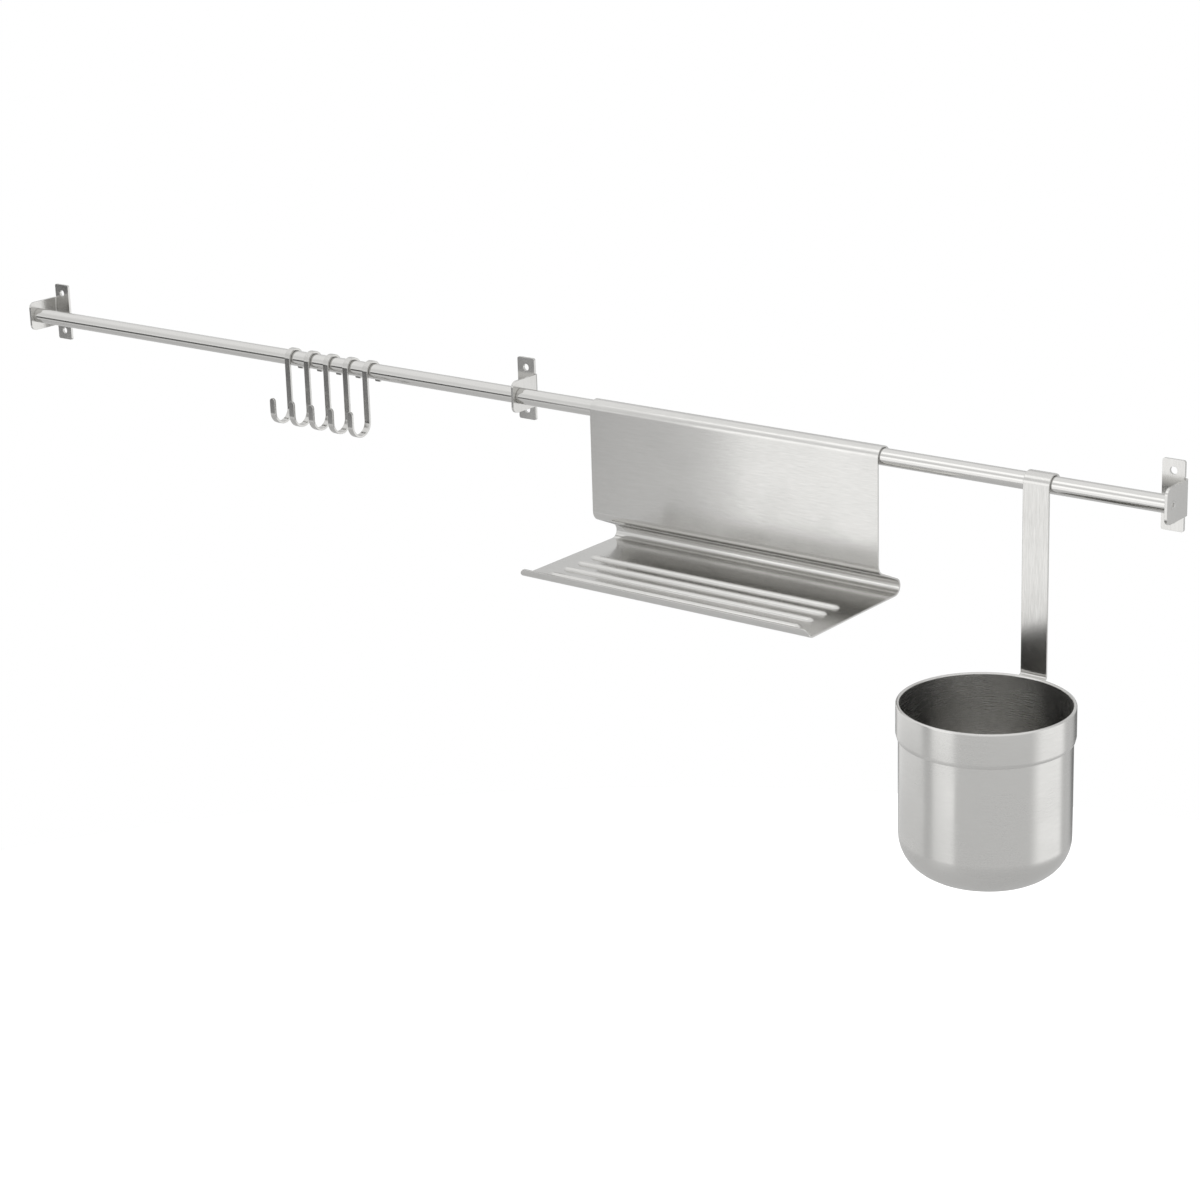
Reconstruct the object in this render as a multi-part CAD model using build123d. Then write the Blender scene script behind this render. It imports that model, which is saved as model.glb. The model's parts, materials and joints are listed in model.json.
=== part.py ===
from build123d import *
import os
from math import cos, radians, sin

# Millimetres. The origin is on the wall, midway between the two screw holes of the middle bracket.
# +X runs along the rail to the right, -Y comes out of the wall and +Z is up.

# Rail tube
tube_diameter = 12.5
tube_wall = 1.2
tube_length = 547.0
tube_end_chamfer = 0.5
axis_to_wall = 22.3

# Bracket, one bent sheet
bracket_sheet = 2.0
bend_inside_radius = 1.0
bend_relief = 0.6
plate_width = 16.4
plate_height = 49.0
plate_corner_radius = 1.6
screw_hole_diameter = 5.5
screw_hole_spacing = 33.6
flange_height = 25.0
flange_past_axis = 9.0
flange_corner_radius = 5.0
flange_step = 2.5

# Fasteners that hold the tubes to the flanges
thread_diameter = 3.0
hole_clearance = 0.2
screw_head_diameter = 5.6
screw_head_height = 1.5
screw_length = 12.0
socket_width = 2.0
socket_depth = 1.1
stud_length = 22.0
plug_length = 14.0
small_chamfer = 0.3

# What hangs on the tube keeps this clearance all round it
saddle_clearance = 0.3

# Hooks
hook_count = 5
hook_pitch = 21.3
first_hook_x = -228.7
hook_width = 5.5
hook_thickness = 1.8
hook_back_leg = 10.3
hook_shank = 40.0
hook_bend_width = 21.7
hook_tip_top = -28.0
hook_tip_radius = 2.7

# Stand, one folded sheet
stand_centre_x = 210.9
stand_width = 254.0
stand_sheet = 1.2
stand_back_leg = 5.0
stand_wall_gap = 0.4
panel_bend_radius = 8.0
ledge_slope = 24.0
back_fold_radius = 6.1
shelf_underside_z = -107.0
shelf_front = 90.3
lip_radius = 5.4
lip_angle = 80.0
lip_straight = 1.9
lip_corner_radius = 5.0
rib_count = 4
rib_pitch = 16.3
first_rib_y = -31.5
rib_margin = 17.4
rib_height = 2.4
rib_half_width = 2.8

# Cup and its strap
cup_centre_x = 462.7
cup_inside_radius = 57.5
cup_sheet = 0.8
rim_fold_gap = 0.9
cup_height = 120.2
cup_top_z = -134.3
cup_bottom_radius = 26.5
collar_height = 24.3
collar_slant = 3.2
collar_gap = 0.1
strap_width = 20.0
strap_thickness = 1.5
strap_back_leg = 5.0
strap_ledge_z = -134.9
strap_jog = 3.3
strap_tab_length = 18.0
weld_overlap = 0.15

# Corners at the ends of the folded strips
strip_corner_radius = 0.8

# Two lengths are the same when they differ by less than this
same_length = 0.001

# Worked out from the sizes above
tube_radius = tube_diameter / 2
plug_radius = tube_radius - tube_wall
saddle_radius = tube_radius + saddle_clearance
flange_outer_x = plate_width / 2 + flange_step
flange_inner_x = flange_outer_x - bracket_sheet
left_end_x = flange_inner_x - tube_length
right_end_x = flange_outer_x + tube_length
left_bracket_x = left_end_x + flange_inner_x
right_bracket_x = right_end_x - flange_inner_x
cup_outside_radius = cup_inside_radius + 2 * cup_sheet + rim_fold_gap


def folded_path(start, heading, folds):
    """Side view of a strip. A number is a straight run, a pair is a bend's radius and angle."""
    point, direction = Vector(*start), Vector(*heading)
    edges = []
    for fold in folds:
        if isinstance(fold, tuple):
            radius, angle = fold
            edge = JernArc(start=point, tangent=direction, radius=radius, arc_size=angle)
        else:
            edge = Line(point, point + direction * fold)
        edges.append(edge)
        point, direction = edge @ 1, edge % 1
    return Plane.YZ * Wire(edges)


def strip(path, width, thickness):
    """A flat strip of constant section that follows a path in the YZ plane."""
    section = Plane(origin=path @ 0, x_dir=(1, 0, 0), z_dir=path % 0) * Rectangle(width, thickness)
    return sweep(section, path=path)


def round_end(solid, end, thickness, radius):
    """Rounds the two corners of a strip at one end of its path."""
    corners = solid.edges().filter_by(GeomType.LINE)
    corners = corners.filter_by(lambda edge: abs(edge.length - thickness) < same_length)
    corners = corners.sort_by(lambda edge: (edge.center() - end).length)
    return fillet(corners[0:2], radius)


def on_rail(solid, x):
    """Moves a piece that is built round the tube's axis to its place on the rail."""
    return Pos(x, -axis_to_wall, 0) * solid


def chamfer_rims(solid, radius, size):
    """Chamfers the round edges of one radius."""
    rims = solid.edges().filter_by(GeomType.CIRCLE)
    return chamfer(rims.filter_by(lambda edge: abs(edge.radius - radius) < same_length), size)


def rail_tube():
    """A tube along X with chamfered ends. Its left end is at X = 0."""
    ring = Circle(tube_radius) - Circle(plug_radius)
    tube = extrude(Plane.YZ * ring, tube_length)
    return chamfer_rims(tube, tube_radius, tube_end_chamfer)


def bracket():
    """Flange on the right. The hole line is at X = 0 and the wall at Y = 0."""
    middle_radius = bend_inside_radius + bracket_sheet / 2
    bend_start = flange_outer_x - bend_inside_radius - bracket_sheet
    plate = fillet(Rectangle(plate_width, plate_height).vertices(), plate_corner_radius)
    notch = Rectangle(plate_width, flange_height + 2 * bend_relief)
    plate -= Pos(bend_start + plate_width / 2, 0) * notch
    for side in (-1, 1):
        plate -= Pos(0, side * screw_hole_spacing / 2) * Circle(screw_hole_diameter / 2)
    plate = extrude(Plane.XZ * plate, bracket_sheet)

    middle_y = -bracket_sheet / 2
    foot = Line((bend_start - bracket_sheet, middle_y), (bend_start, middle_y))
    bend = JernArc(start=foot @ 1, tangent=foot % 1, radius=middle_radius, arc_size=-90)
    front = Vector(flange_inner_x + bracket_sheet / 2, -axis_to_wall - flange_past_axis)
    path = Wire([foot, bend, Line(bend @ 1, front)])
    section = Plane(origin=path @ 0, x_dir=(0, 0, 1), z_dir=path % 0)
    flange = sweep(section * Rectangle(flange_height, bracket_sheet), path=path)
    front_corners = flange.edges().filter_by(Axis.X).group_by(Axis.Y)[0]
    flange = fillet(front_corners, flange_corner_radius)

    hole_radius = (thread_diameter + hole_clearance) / 2
    head_radius = (screw_head_diameter + hole_clearance) / 2
    drill = Cylinder(hole_radius, 4 * bracket_sheet)
    drill += Pos(0, 0, -screw_head_height / 2) * Cone(hole_radius, head_radius, screw_head_height)
    return plate + flange - Pos(flange_outer_x, -axis_to_wall, 0) * Rot(0, 90, 0) * drill


def end_plug():
    """Threaded plug, pressed into the end of a tube. Its outer face is at X = 0."""
    plug = extrude(Circle(plug_radius) - Circle(thread_diameter / 2), plug_length)
    return Rot(0, 90, 0) * chamfer_rims(plug, plug_radius, small_chamfer)


def joining_stud():
    """Headless threaded rod along X that screws into two plugs. Its middle is at X = 0."""
    stud = Cylinder(thread_diameter / 2, stud_length)
    return Rot(0, 90, 0) * chamfer(stud.edges().filter_by(GeomType.CIRCLE), small_chamfer)


def end_screw():
    """Countersunk screw along X. Its head's flat face is at X = 0 and faces right."""
    shank = Pos(0, 0, -screw_length / 2) * Cylinder(thread_diameter / 2, screw_length)
    shank = chamfer(shank.edges().group_by(Axis.Z)[0], small_chamfer)
    cone = Cone(thread_diameter / 2, screw_head_diameter / 2, screw_head_height)
    screw = shank + Pos(0, 0, -screw_head_height / 2) * cone
    socket = RegularPolygon(radius=socket_width / 2, side_count=6, major_radius=False)
    screw -= extrude(socket, -socket_depth)
    return Rot(0, 90, 0) * screw


def hook():
    """Flat strip folded over the tube, down and up again to a rounded tip."""
    over_tube = saddle_radius + hook_thickness / 2
    bend = (hook_bend_width - hook_thickness) / 2
    folds = [hook_back_leg, (over_tube, 180), hook_shank, (bend, -180), hook_shank + hook_tip_top]
    path = folded_path((over_tube, -hook_back_leg), (0, 1), folds)
    solid = strip(path, hook_width, hook_thickness)
    solid = round_end(solid, path @ 0, hook_thickness, strip_corner_radius)
    return round_end(solid, path @ 1, hook_thickness, hook_tip_radius)


def stand_path():
    """Saddle, panel, fold back under the panel, turn at the wall, shelf and front lip."""
    over_tube = saddle_radius + stand_sheet / 2
    slope = radians(ledge_slope)
    shelf_z = shelf_underside_z + stand_sheet / 2
    fold_centre_z = shelf_z + back_fold_radius
    fold_centre_y = axis_to_wall - stand_wall_gap - stand_sheet / 2 - back_fold_radius
    ledge_end_y = fold_centre_y + back_fold_radius * sin(slope)
    ledge_end_z = fold_centre_z + back_fold_radius * cos(slope)
    ledge_start_y = -over_tube + panel_bend_radius * (1 - sin(slope))
    ledge = (ledge_end_y - ledge_start_y) / cos(slope)
    ledge_start_z = ledge_end_z + ledge * sin(slope)
    panel = -ledge_start_z - panel_bend_radius * cos(slope)
    shelf = fold_centre_y + shelf_front
    folds = [
        stand_back_leg,
        (over_tube, 180),
        panel,
        (panel_bend_radius, 90 - ledge_slope),
        ledge,
        (back_fold_radius, ledge_slope - 180),
        shelf,
        (lip_radius, -lip_angle),
        lip_straight,
    ]
    return folded_path((over_tube, -stand_back_leg), (0, 1), folds)


def capsule(radius, length):
    """A bar along X with ball ends, whose ball centres are this length apart."""
    bar = Rot(0, 90, 0) * Cylinder(radius, length)
    return bar + Pos(length / 2, 0, 0) * Sphere(radius) + Pos(-length / 2, 0, 0) * Sphere(radius)


def lip_corner():
    """What is cut off the lip's right corner, which is at X = 0 and Z = 0."""
    square = Rectangle(lip_corner_radius, lip_corner_radius, align=Align.MAX)
    rounded = Pos(-lip_corner_radius, -lip_corner_radius) * Circle(lip_corner_radius)
    return extrude(Plane.XZ * (square - rounded), 2 * lip_radius, both=True)


def rib():
    """The ridge that a rib adds to the shelf and the groove under it. The sheet's top is Z = 0."""
    crown_radius = (rib_height**2 + rib_half_width**2) / (2 * rib_height)
    ball_distance = stand_width - 2 * rib_margin - 2 * rib_half_width
    crown_centre = Pos(0, 0, rib_height - crown_radius)
    upwards = (Align.CENTER, Align.CENTER, Align.MIN)
    above_middle = Box(stand_width, 2 * crown_radius, 2 * crown_radius, align=upwards)
    above_middle = Pos(0, 0, -stand_sheet / 2) * above_middle
    ridge = crown_centre * capsule(crown_radius, ball_distance) & above_middle
    groove = crown_centre * capsule(crown_radius - stand_sheet, ball_distance)
    return ridge, groove


def shelf_stand():
    """One sheet folded into saddle, panel, shelf and lip, with ribs pressed up in the shelf."""
    path = stand_path()
    stand = strip(path, stand_width, stand_sheet)
    stand = round_end(stand, path @ 0, stand_sheet, strip_corner_radius)

    lip_end = path @ 1
    lip_top_z = lip_end.Z + stand_sheet / 2 * cos(radians(lip_angle))
    corner = Pos(stand_width / 2, lip_end.Y, lip_top_z) * lip_corner()
    stand -= corner
    stand -= mirror(corner, about=Plane.YZ)

    ridge, groove = rib()
    for index in range(rib_count):
        place = Pos(0, first_rib_y - index * rib_pitch, shelf_underside_z + stand_sheet)
        stand = stand + place * ridge - place * groove
    return stand


def cup_profile():
    """Half section of the cup, with its rim folded over and down to the collar."""
    bead = (cup_outside_radius - cup_inside_radius) / 2
    body_radius = cup_inside_radius + cup_sheet
    collar_inside = cup_outside_radius - cup_sheet
    slant_top = collar_slant - collar_height
    inside_z = cup_sheet - cup_height
    outer_corner = cup_bottom_radius + cup_sheet
    corner = sin(radians(45))
    outline = [
        Line((0, -cup_height), (body_radius - outer_corner, -cup_height)),
        ThreePointArc(
            (body_radius - outer_corner, -cup_height),
            (body_radius - outer_corner * (1 - corner), -cup_height + outer_corner * (1 - corner)),
            (body_radius, -cup_height + outer_corner),
        ),
        Polyline(
            (body_radius, -cup_height + outer_corner),
            (body_radius, -collar_height),
            (body_radius + collar_gap, -collar_height),
            (cup_outside_radius, slant_top),
            (cup_outside_radius, -bead),
        ),
        ThreePointArc(
            (cup_outside_radius, -bead), (cup_inside_radius + bead, 0), (cup_inside_radius, -bead)
        ),
        Line((cup_inside_radius, -bead), (cup_inside_radius, inside_z + cup_bottom_radius)),
        ThreePointArc(
            (cup_inside_radius, inside_z + cup_bottom_radius),
            (
                cup_inside_radius - cup_bottom_radius * (1 - corner),
                inside_z + cup_bottom_radius * (1 - corner),
            ),
            (cup_inside_radius - cup_bottom_radius, inside_z),
        ),
        Polyline((cup_inside_radius - cup_bottom_radius, inside_z), (0, inside_z), (0, -cup_height)),
    ]
    hem_radius = (collar_inside - body_radius) / 2
    lip_top = slant_top - (collar_inside - body_radius)
    hollow = [
        Polyline(
            (body_radius, -bead),
            (body_radius, -collar_height),
            (body_radius + collar_gap, -collar_height),
            (body_radius + collar_gap, lip_top),
            (collar_inside, slant_top),
            (collar_inside, -bead),
        ),
        ThreePointArc(
            (collar_inside, -bead), (body_radius + hem_radius, hem_radius - bead), (body_radius, -bead)
        ),
    ]
    return make_face(outline) - make_face(hollow)


def utensil_cup():
    """The cup in its place. The back of its collar is welded to the strap's tab."""
    tab_front = saddle_radius + strap_thickness + strap_jog
    centre_y = -tab_front - cup_outside_radius + weld_overlap
    cup = revolve(Plane.XZ * cup_profile(), Axis.Z)
    return Pos(0, centre_y, cup_top_z) * cup


def cup_strap():
    """Strip folded over the tube and down, then jogged forwards to a short tab."""
    over_tube = saddle_radius + strap_thickness / 2
    drop = -strap_ledge_z + strap_thickness / 2 - strap_jog / 2
    jog = strap_jog / 2
    folds = [strap_back_leg, (over_tube, 180), drop, (jog, -90), (jog, 90), strap_tab_length]
    path = folded_path((over_tube, -strap_back_leg), (0, 1), folds)
    solid = strip(path, strap_width, strap_thickness)
    solid = round_end(solid, path @ 0, strap_thickness, strip_corner_radius)
    return round_end(solid, path @ 1, strap_thickness, strip_corner_radius)


right_bracket = bracket()
left_bracket = mirror(right_bracket, about=Plane.YZ)
tube = rail_tube()
plug = end_plug()
screw = end_screw()
nodes = {
    "rail_tube_left": on_rail(tube, left_end_x),
    "rail_tube_right": on_rail(tube, flange_outer_x),
    "bracket_left": Pos(left_bracket_x, 0, 0) * left_bracket,
    "bracket_middle": right_bracket,
    "bracket_right": Pos(right_bracket_x, 0, 0) * right_bracket,
    "end_plug_left": on_rail(plug, left_end_x),
    "join_plug_left": on_rail(plug, flange_inner_x - plug_length),
    "join_plug_right": on_rail(plug, flange_outer_x),
    "end_plug_right": on_rail(plug, right_end_x - plug_length),
    "joining_stud": on_rail(joining_stud(), flange_outer_x - bracket_sheet / 2),
    "end_screw_left": on_rail(mirror(screw, about=Plane.YZ), left_end_x - bracket_sheet),
    "end_screw_right": on_rail(screw, right_end_x + bracket_sheet),
    "shelf_stand": on_rail(shelf_stand(), stand_centre_x),
    "utensil_cup": on_rail(utensil_cup(), cup_centre_x),
    "cup_strap": on_rail(cup_strap(), cup_centre_x),
}
one_hook = hook()
for index in range(hook_count):
    nodes[f"hook_{index + 1}"] = on_rail(one_hook, first_hook_x + index * hook_pitch)

os.makedirs("parts", exist_ok=True)
for name, solid in nodes.items():
    export_step(solid, f"parts/{name}.step")
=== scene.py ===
import json
import math

import bmesh
import bpy
from mathutils import Matrix, Vector

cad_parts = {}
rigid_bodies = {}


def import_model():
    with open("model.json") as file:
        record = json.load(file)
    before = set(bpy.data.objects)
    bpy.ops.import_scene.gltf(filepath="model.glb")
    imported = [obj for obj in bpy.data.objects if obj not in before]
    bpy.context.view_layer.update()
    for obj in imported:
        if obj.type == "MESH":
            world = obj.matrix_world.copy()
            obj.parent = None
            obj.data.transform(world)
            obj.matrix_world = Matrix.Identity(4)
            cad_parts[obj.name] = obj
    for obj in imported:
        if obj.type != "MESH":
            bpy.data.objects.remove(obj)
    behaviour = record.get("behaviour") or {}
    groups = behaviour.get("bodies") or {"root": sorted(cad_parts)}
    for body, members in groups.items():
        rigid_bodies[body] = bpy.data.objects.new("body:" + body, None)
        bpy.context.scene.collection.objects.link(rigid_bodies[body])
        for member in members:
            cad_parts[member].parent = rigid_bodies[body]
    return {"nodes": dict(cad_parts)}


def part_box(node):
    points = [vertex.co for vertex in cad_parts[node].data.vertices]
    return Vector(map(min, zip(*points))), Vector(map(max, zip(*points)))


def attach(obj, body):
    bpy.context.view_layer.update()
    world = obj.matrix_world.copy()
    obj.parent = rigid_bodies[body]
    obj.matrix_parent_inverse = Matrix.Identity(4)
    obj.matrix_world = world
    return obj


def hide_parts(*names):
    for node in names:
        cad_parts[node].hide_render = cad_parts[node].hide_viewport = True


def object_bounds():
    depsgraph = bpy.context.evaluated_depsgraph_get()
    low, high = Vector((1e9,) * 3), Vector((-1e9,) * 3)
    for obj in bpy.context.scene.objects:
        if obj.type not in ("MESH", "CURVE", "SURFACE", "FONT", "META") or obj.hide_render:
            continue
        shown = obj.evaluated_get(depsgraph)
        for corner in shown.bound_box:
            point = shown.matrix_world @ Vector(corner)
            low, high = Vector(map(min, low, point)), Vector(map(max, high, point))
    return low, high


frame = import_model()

CAD_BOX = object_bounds()

bl_info = {
    "name": "Kitchen Utensil Rail",
    "version": (1, 0, 0),
    "blender": (4, 5, 0),
    "location": "3D Viewport > Sidebar > Utensil Rail",
    "description": "Models the folded steel pieces of a wall rail and sets them in a plain studio",
    "category": "Object",
}

# What the frame gives
TUBE_LOW, TUBE_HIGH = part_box("rail_tube_left")
TUBE_RADIUS = (TUBE_HIGH.z - TUBE_LOW.z) / 2
AXIS_Y = (TUBE_HIGH.y + TUBE_LOW.y) / 2
MIDDLE = (CAD_BOX[0] + CAD_BOX[1]) / 2
HOOKS = sorted(name for name in frame["nodes"] if name.startswith("hook_"))

# Lengths, angles and directions that several pieces share. Two places are the same one where
# they are nearer to each other than SAME_PLACE.
MM = 0.001
SADDLE_CLEARANCE = 0.3 * MM
END_CORNER = 0.8 * MM
SAME_PLACE = 0.01 * MM
SMALL_BEND_STEP = math.radians(9)
BEND_STEP = math.radians(10)
UP = Vector((0, 0, 1))
FORWARD = Vector((0, -1, 0))

# Each corner of a hook's tip takes just under half the hook's width, so that the two don't meet
TIP_ROUNDING = 0.49

# How every brushed finish is mixed: streaks against the fine grain, the shares of both and of the
# clouds, and what wear and worn edges do to brightness and roughness
STREAK_PITCH = 3
STREAK_LENGTH = 4
FINE_SHARE = 0.75
CLOUD_SHARE = 0.25
CLOUD_SCALE = 28
GRAIN_DEPTH = (0.38, 0.62)
WEAR = (0.7, 1.3)
WEAR_ROUGHNESS = (1.25, 0.75)
EDGE_LIKENESS = (0.995, 0.85)
EDGE_BRIGHTNESS = 0.5
EDGE_POLISH = 0.4
GRAIN_STRENGTH = 0.3
GRAIN_RELIEF = 0.02 * MM

# The end screws' star socket: each pull draws in the part of the lobes' wave under one level
LOBES = 6
LOBE_LEVELS = (0.7, 0.3, -0.1, -0.5, -0.9)
LOBE_PULL = 0.95
SOCKET_TAPER = 0.9
SCREW_SIDES = 72

# The stand's mesh at the ribs, in rib feet: its rows from a rib's crest to beyond its foot, and
# how far its columns are refined inside and outside of a rib's end
RIB_ROWS = (0.3, 0.55, 0.75, 0.87, 0.95, 0.99, 1.1)
REFINE_INSIDE = 0.4
REFINE_OUTSIDE = 1.2

# The studio as the steel sees it, by the direction of the mirrored ray. A range gives where a
# coordinate of the direction starts to fade in and where it has, and may name its axis and say
# whether its ends are soft.
HORIZON = ("z", 0.03, -0.05, True)
HORIZON_BAND = (0.2, 0.06)
OVERHEAD = (0.45, 0.7)
WALL_SIDE = ("y", 0.5, 0.7, True)
FRONT = (-0.70, -0.54)
WHITE = 0.95
BRIGHT = 1.15
WALL = 0.8
FRONT_LEFT = 0.38

# Patches of the lower half, later ones over earlier ones: a level, and the ranges that limit it
LOW_PATCHES = {
    "left_band": (
        0.85,
        [("z", -0.55, -0.47, True), ("z", -0.3, -0.36, True), ("x", -0.5, -0.62, False)],
    ),
    "far_left": (1.1, [("x", -0.75, -0.82, True)]),
    "right": (1.3, [("y", 0.02, 0.25, False), ("x", -0.1, 0.15, False)]),
    "behind_right": (0.7, [("y", 0.72, 0.84, True), ("x", 0, 0.15, False)]),
    "behind_left": (0.2, [("y", 0.5, 0.68, False), ("x", 0.2, -0.05, False)]),
}

# Lamps: place, target, width, height and brightness of the lit face
LAMPS = {
    "lamp_top": ((-0.85, -1.2, 2.1), MIDDLE, 1.2, 0.9, 0.5),
    "lamp_front": ((-0.56, -2.07, -0.2), (-0.56, 0, -0.2), 1.38, 1.9, 0.58),
}

# Colour of the floor's paper and of the even light all round, and the paper's glow to the camera
PAPER = (0.8, 0.8, 0.8, 1)
PAPER_GLOW = 0.7


# Settings


class FinishSettings(bpy.types.PropertyGroup):
    """Colour and grain that all the brushed pieces share."""

    steel: bpy.props.FloatVectorProperty(
        name="Steel",
        description="Colour of clean brushed stainless steel",
        subtype="COLOR",
        min=0,
        max=1,
        default=(0.63, 0.625, 0.61),
    )
    shade: bpy.props.FloatVectorProperty(
        name="Grain Shade",
        description="Colour at the bottom of the grain's deepest lines",
        subtype="COLOR",
        min=0,
        max=1,
        default=(0.50, 0.495, 0.48),
    )
    grain_pitch: bpy.props.FloatProperty(
        name="Grain Pitch",
        description="Distance from one fine grain line to the next",
        unit="LENGTH",
        default=0.25 * MM,
    )
    grain_length: bpy.props.FloatProperty(
        name="Grain Length",
        description="Length of one fine grain line",
        unit="LENGTH",
        default=9 * MM,
    )
    edge_radius: bpy.props.FloatProperty(
        name="Edge Radius",
        description="How far the tumbled edges are rounded and polished",
        unit="LENGTH",
        default=0.35 * MM,
    )


class ScrewSettings(bpy.types.PropertyGroup):
    """Sizes of one end screw. Its head and length are taken from the frame."""

    thread: bpy.props.FloatProperty(
        name="Thread",
        description="Diameter of the threaded shank",
        unit="LENGTH",
        default=3 * MM,
    )
    head_height: bpy.props.FloatProperty(
        name="Head Height",
        description="Height of the countersunk head",
        unit="LENGTH",
        default=1.5 * MM,
    )
    star: bpy.props.FloatProperty(
        name="Star",
        description="Distance across the lobes of the star socket",
        unit="LENGTH",
        default=3.6 * MM,
    )
    star_depth: bpy.props.FloatProperty(
        name="Star Depth",
        description="Depth of the star socket",
        unit="LENGTH",
        default=1.1 * MM,
    )
    edge_round: bpy.props.FloatProperty(
        name="Edge Rounding",
        description="Radius on the head's rim and on the socket's edge",
        unit="LENGTH",
        default=0.2 * MM,
    )


class HookSettings(bpy.types.PropertyGroup):
    """Sizes of one flat hook."""

    thickness: bpy.props.FloatProperty(
        name="Thickness",
        description="Thickness of the hook's flat bar",
        unit="LENGTH",
        default=1.8 * MM,
    )
    back_leg: bpy.props.FloatProperty(
        name="Back Leg",
        description="How far the hook reaches down behind the tube's axis",
        unit="LENGTH",
        default=10.3 * MM,
    )
    bend_width: bpy.props.FloatProperty(
        name="Bend Width",
        description="Outside width of the bend that things hang in",
        unit="LENGTH",
        default=21.7 * MM,
    )
    tip_top: bpy.props.FloatProperty(
        name="Tip Top",
        description="Height of the tip's end against the tube's axis",
        unit="LENGTH",
        default=-28.0 * MM,
    )
    edge_round: bpy.props.FloatProperty(
        name="Edge Rounding",
        description="Radius on the long edges of the bar",
        unit="LENGTH",
        default=0.25 * MM,
    )


class StandSettings(bpy.types.PropertyGroup):
    """Sizes of the folded stand."""

    sheet: bpy.props.FloatProperty(
        name="Sheet",
        description="Thickness of the sheet",
        unit="LENGTH",
        default=1.2 * MM,
    )
    back_leg: bpy.props.FloatProperty(
        name="Back Leg",
        description="How far the saddle reaches down behind the tube's axis",
        unit="LENGTH",
        default=5 * MM,
    )
    panel_bend: bpy.props.FloatProperty(
        name="Panel Bend",
        description="Radius of the bend under the panel",
        unit="LENGTH",
        default=8 * MM,
    )
    ledge_slope: bpy.props.FloatProperty(
        name="Ledge Slope",
        description="Fall of the ledge behind the panel",
        subtype="ANGLE",
        default=math.radians(24),
    )
    back_fold: bpy.props.FloatProperty(
        name="Back Fold",
        description="Radius of the turn at the wall",
        unit="LENGTH",
        default=6.1 * MM,
    )
    lip_radius: bpy.props.FloatProperty(
        name="Lip Radius",
        description="Radius of the front lip",
        unit="LENGTH",
        default=5.4 * MM,
    )
    lip_angle: bpy.props.FloatProperty(
        name="Lip Angle",
        description="How far the front lip turns up",
        subtype="ANGLE",
        default=math.radians(80),
    )
    lip_straight: bpy.props.FloatProperty(
        name="Lip Straight",
        description="Straight sheet at the front lip's top",
        unit="LENGTH",
        default=1.9 * MM,
    )
    lip_corner: bpy.props.FloatProperty(
        name="Lip Corner",
        description="Radius of the front lip's two corners, seen from the front",
        unit="LENGTH",
        default=5 * MM,
    )
    rib_count: bpy.props.IntProperty(
        name="Ribs", description="Number of ribs pressed into the shelf", default=4
    )
    rib_pitch: bpy.props.FloatProperty(
        name="Rib Pitch",
        description="Distance from one rib to the next",
        unit="LENGTH",
        default=16.3 * MM,
    )
    first_rib: bpy.props.FloatProperty(
        name="First Rib",
        description="Distance of the first rib in front of the tube's axis",
        unit="LENGTH",
        default=31.5 * MM,
    )
    rib_margin: bpy.props.FloatProperty(
        name="Rib Margin",
        description="Flat sheet between a rib's end and the stand's side",
        unit="LENGTH",
        default=17.4 * MM,
    )
    rib_height: bpy.props.FloatProperty(
        name="Rib Height",
        description="Height of a rib above the shelf",
        unit="LENGTH",
        default=2.4 * MM,
    )
    rib_foot: bpy.props.FloatProperty(
        name="Rib Foot",
        description="Half width of a rib where it runs out in the shelf",
        unit="LENGTH",
        default=2.8 * MM,
    )
    columns: bpy.props.IntProperty(
        name="Columns", description="Mesh columns across the stand", default=90
    )
    edge_round: bpy.props.FloatProperty(
        name="Edge Rounding",
        description="Radius on the sheet's edges",
        unit="LENGTH",
        default=0.3 * MM,
    )


class CupSettings(bpy.types.PropertyGroup):
    """Sizes of the cup."""

    sheet: bpy.props.FloatProperty(
        name="Sheet",
        description="Thickness of the cup's sheet",
        unit="LENGTH",
        default=0.8 * MM,
    )
    inside_radius: bpy.props.FloatProperty(
        name="Inside Radius",
        description="Radius of the cup's inside",
        unit="LENGTH",
        default=57.5 * MM,
    )
    bottom_radius: bpy.props.FloatProperty(
        name="Bottom Radius",
        description="Inside radius of the turn to the bottom",
        unit="LENGTH",
        default=26.5 * MM,
    )
    collar: bpy.props.FloatProperty(
        name="Collar",
        description="How far the folded rim reaches down outside",
        unit="LENGTH",
        default=24.3 * MM,
    )
    slant: bpy.props.FloatProperty(
        name="Slant",
        description="Height over which the collar closes on the wall",
        unit="LENGTH",
        default=3.2 * MM,
    )
    collar_gap: bpy.props.FloatProperty(
        name="Collar Gap",
        description="Gap between the collar's lower edge and the wall",
        unit="LENGTH",
        default=0.1 * MM,
    )
    edge_round: bpy.props.FloatProperty(
        name="Edge Rounding",
        description="Radius on the sheet's edges",
        unit="LENGTH",
        default=0.2 * MM,
    )
    steps: bpy.props.IntProperty(
        name="Steps", description="Mesh steps round the cup", default=160
    )


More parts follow.
